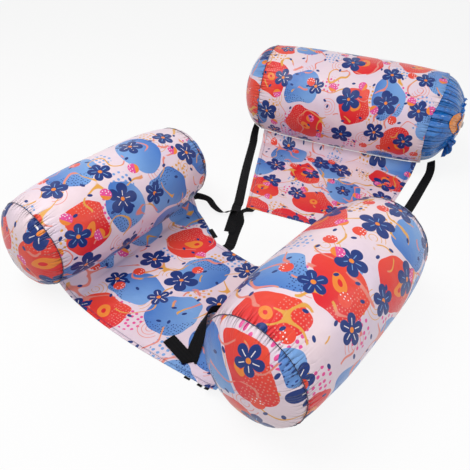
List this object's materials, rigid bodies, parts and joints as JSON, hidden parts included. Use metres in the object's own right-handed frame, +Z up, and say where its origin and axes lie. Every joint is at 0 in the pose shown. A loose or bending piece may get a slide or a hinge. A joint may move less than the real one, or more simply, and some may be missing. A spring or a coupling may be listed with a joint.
{
  "type": "inflatable pool chair",
  "caption": "Water chair: cloth seat between round inflated armrests, with a larger inflated back bolster on a cloth panel and webbing straps, laid out flat.",
  "frame": {"origin": "on the floor under the middle of the seat panel, at its underside", "axes": "+Z up, +Y from the seat's front edge to the back bolster, +X to the right as seen from the front"},
  "size_m": [0.8874, 1.4101, 0.3315],
  "materials": {
    "left_armrest_cover": "printed satin cloth",
    "left_armrest_front_disc": "printed satin cloth",
    "left_armrest_rear_disc": "printed satin cloth",
    "left_armrest_bladder": "blue film",
    "left_armrest_valve": "moulded",
    "left_armrest_valve_plug": "moulded",
    "left_armrest_closure": "hook and loop",
    "left_recline_strap": "woven webbing",
    "left_strap_end": "woven webbing",
    "left_link_strap": "woven webbing",
    "left_side_strap": "woven webbing",
    "left_rear_tab": "woven webbing",
    "left_grip_patch": "hook and loop",
    "right_armrest_cover": "printed satin cloth",
    "right_armrest_front_disc": "printed satin cloth",
    "right_armrest_rear_disc": "printed satin cloth",
    "right_armrest_bladder": "blue film",
    "right_armrest_valve": "moulded",
    "right_armrest_valve_plug": "moulded",
    "right_armrest_closure": "hook and loop",
    "right_recline_strap": "woven webbing",
    "right_strap_end": "woven webbing",
    "right_link_strap": "woven webbing",
    "right_side_strap": "woven webbing",
    "right_rear_tab": "woven webbing",
    "right_grip_patch": "hook and loop",
    "back_cover": "printed satin cloth",
    "back_left_disc": "printed satin cloth",
    "back_bladder": "blue film",
    "back_end_patch": "welded film",
    "back_valve": "moulded",
    "back_valve_plug": "moulded",
    "back_panel": "printed satin cloth",
    "seat_panel": "printed satin cloth",
    "front_strap": "woven webbing",
    "hem_tab_1": "woven webbing",
    "hem_tab_2": "woven webbing",
    "hem_tab_3": "woven webbing"
  },
  "bodies": {
    "seat": {"seat_panel": "seat_panel", "front_strap": "front_strap", "hem_tab_1": "hem_tab_1", "hem_tab_2": "hem_tab_2", "hem_tab_3": "hem_tab_3", "left_strap_end": "left_strap_end", "left_link_strap": "left_link_strap", "left_side_strap": "left_side_strap", "left_rear_tab": "left_rear_tab", "left_grip_patch": "left_grip_patch", "right_strap_end": "right_strap_end", "right_link_strap": "right_link_strap", "right_side_strap": "right_side_strap", "right_rear_tab": "right_rear_tab", "right_grip_patch": "right_grip_patch"},
    "back": {"back_cover": "back_cover", "back_left_disc": "back_left_disc", "back_bladder": "back_bladder", "back_end_patch": "back_end_patch", "back_valve": "back_valve", "back_panel": "back_panel", "left_recline_strap": "left_recline_strap", "right_recline_strap": "right_recline_strap"},
    "back_valve_plug": {"back_valve_plug": "back_valve_plug"},
    "left_armrest": {"left_armrest_cover": "left_armrest_cover", "left_armrest_front_disc": "left_armrest_front_disc", "left_armrest_rear_disc": "left_armrest_rear_disc", "left_armrest_bladder": "left_armrest_bladder", "left_armrest_valve": "left_armrest_valve", "left_armrest_closure": "left_armrest_closure"},
    "left_armrest_valve_plug": {"left_armrest_valve_plug": "left_armrest_valve_plug"},
    "right_armrest": {"right_armrest_cover": "right_armrest_cover", "right_armrest_front_disc": "right_armrest_front_disc", "right_armrest_rear_disc": "right_armrest_rear_disc", "right_armrest_bladder": "right_armrest_bladder", "right_armrest_valve": "right_armrest_valve", "right_armrest_closure": "right_armrest_closure"},
    "right_armrest_valve_plug": {"right_armrest_valve_plug": "right_armrest_valve_plug"}
  },
  "joints": [
    {"name": "back_recline", "type": "hinge", "parent": "seat", "child": "back", "pos_m": [0.10852, 0.35414, 0.002], "axis": [0.9763, 0.2164, 0], "range_deg": [0, 90]},
    {"name": "left_armrest_fold", "type": "hinge", "parent": "seat", "child": "left_armrest", "pos_m": [-0.23336, -0.00678, 0.01408], "axis": [0.0593, 0.9982, 0], "range_deg": [0, 45]},
    {"name": "right_armrest_fold", "type": "hinge", "parent": "seat", "child": "right_armrest", "pos_m": [0.24089, 0.01533, 0.01542], "axis": [-0.1357, -0.9907, 0], "range_deg": [0, 45]},
    {"name": "back_plug_pull", "type": "slide", "parent": "back", "child": "back_valve_plug", "axis": [0.9763, 0.2164, 0], "range_m": [0, 0.006]},
    {"name": "left_armrest_plug_pull", "type": "slide", "parent": "left_armrest", "child": "left_armrest_valve_plug", "axis": [0.0593, 0.9982, 0], "range_m": [0, 0.006]},
    {"name": "right_armrest_plug_pull", "type": "slide", "parent": "right_armrest", "child": "right_armrest_valve_plug", "axis": [0.1357, 0.9907, 0], "range_m": [0, 0.006]}
  ]
}
